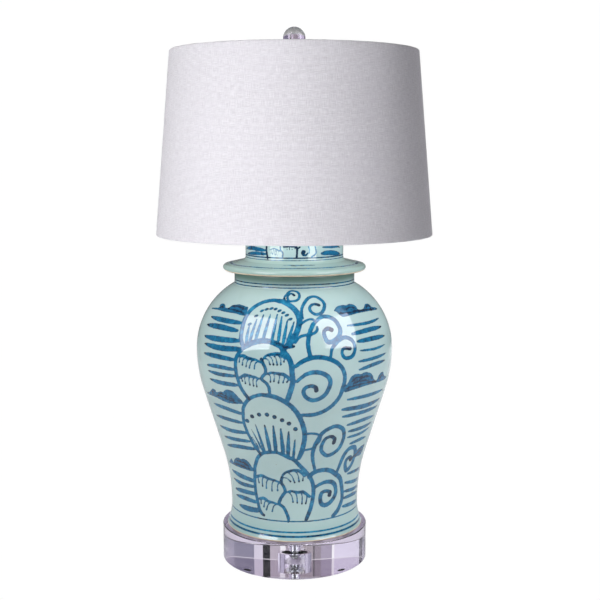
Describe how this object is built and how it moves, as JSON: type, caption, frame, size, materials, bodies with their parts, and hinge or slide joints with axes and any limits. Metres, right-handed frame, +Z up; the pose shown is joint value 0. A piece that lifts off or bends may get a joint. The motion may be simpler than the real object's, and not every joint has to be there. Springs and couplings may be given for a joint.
{
  "type": "ginger jar table lamp",
  "caption": "Table lamp with a lidded, blue-painted ceramic jar on a clear acrylic disc, a harp and socket, and a tapered linen drum shade with a ball finial.",
  "frame": {"origin": "on the floor under the middle of the base, at the foot pads' lower faces", "axes": "+Z up along the lamp pipe; -Y towards the viewer of the picture and the switch knob; +Y towards the cord outlet; +X to the viewer's right, in the harp's plane"},
  "size_m": [0.406, 0.406, 0.7932],
  "materials": {
    "rubber": "soft black",
    "acrylic": "clear, polished",
    "zinc_steel": "zinc plated",
    "glaze": "glossy pale celadon glaze with blue brush painting",
    "nickel": "satin nickel",
    "fibre": "matt",
    "phenolic": "black",
    "brass": "bright",
    "frosted_glass": "frosted white",
    "cap_aluminium": "rolled",
    "solder": "dull",
    "linen": "off-white woven linen",
    "styrene": "white sheet",
    "white_wire": "white powder coat"
  },
  "bodies": {
    "root": {"rubber_feet": "rubber", "acrylic_base": "acrylic", "bottom_washer": "zinc_steel", "bottom_lock_washer": "zinc_steel", "bottom_nut": "zinc_steel", "lamp_pipe": "zinc_steel", "jar": "glaze", "jar_lid": "glaze", "vase_cap": "nickel", "cap_washer": "zinc_steel", "top_nut": "zinc_steel", "neck_tube": "nickel", "harp_saddle": "nickel", "socket_cap": "nickel", "socket_set_screw": "zinc_steel", "socket_shell": "nickel", "socket_liner": "fibre", "socket_body": "phenolic", "screw_shell": "brass", "centre_contact": "brass", "terminal_screws": "zinc_steel"},
    "switch": {"switch_shaft": "zinc_steel", "switch_knob": "phenolic"},
    "harp": {"harp": "nickel"},
    "sleeve_left": {"harp_sleeve_left": "nickel"},
    "sleeve_right": {"harp_sleeve_right": "nickel"},
    "stud": {"harp_stud": "nickel"},
    "shade": {"shade_cloth": "linen", "shade_liner": "styrene", "shade_bottom_ring": "white_wire", "shade_spider": "white_wire"},
    "finial": {"finial_base": "nickel", "finial_ball": "acrylic"},
    "bulb": {"bulb_glass": "frosted_glass", "bulb_cap": "cap_aluminium", "bulb_insulator": "phenolic", "bulb_contact": "solder"}
  },
  "joints": [
    {"name": "switch_turn", "type": "hinge", "parent": "root", "child": "switch", "pos_m": [0, -0.025, 0.571], "axis": [0, -1, 0], "continuous": true},
    {"name": "harp_lift", "type": "slide", "parent": "root", "child": "harp", "axis": [0, 0, 1], "range_m": [0, 0.03]},
    {"name": "sleeve_left_lift", "type": "slide", "parent": "harp", "child": "sleeve_left", "axis": [0, 0, 1], "range_m": [0, 0.012]},
    {"name": "sleeve_right_lift", "type": "slide", "parent": "harp", "child": "sleeve_right", "axis": [0, 0, 1], "range_m": [0, 0.012]},
    {"name": "stud_swivel", "type": "hinge", "parent": "harp", "child": "stud", "pos_m": [0, 0, 0.744], "axis": [0, 0, 1], "continuous": true},
    {"name": "shade_lift", "type": "slide", "parent": "stud", "child": "shade", "axis": [0, 0, 1], "range_m": [0, 0.3]},
    {"name": "finial_turn", "type": "hinge", "parent": "shade", "child": "finial", "pos_m": [0, 0, 0.757], "axis": [0, 0, 1], "continuous": true},
    {"name": "bulb_turn", "type": "hinge", "parent": "root", "child": "bulb", "pos_m": [0, 0, 0.595], "axis": [0, 0, 1], "continuous": true}
  ]
}
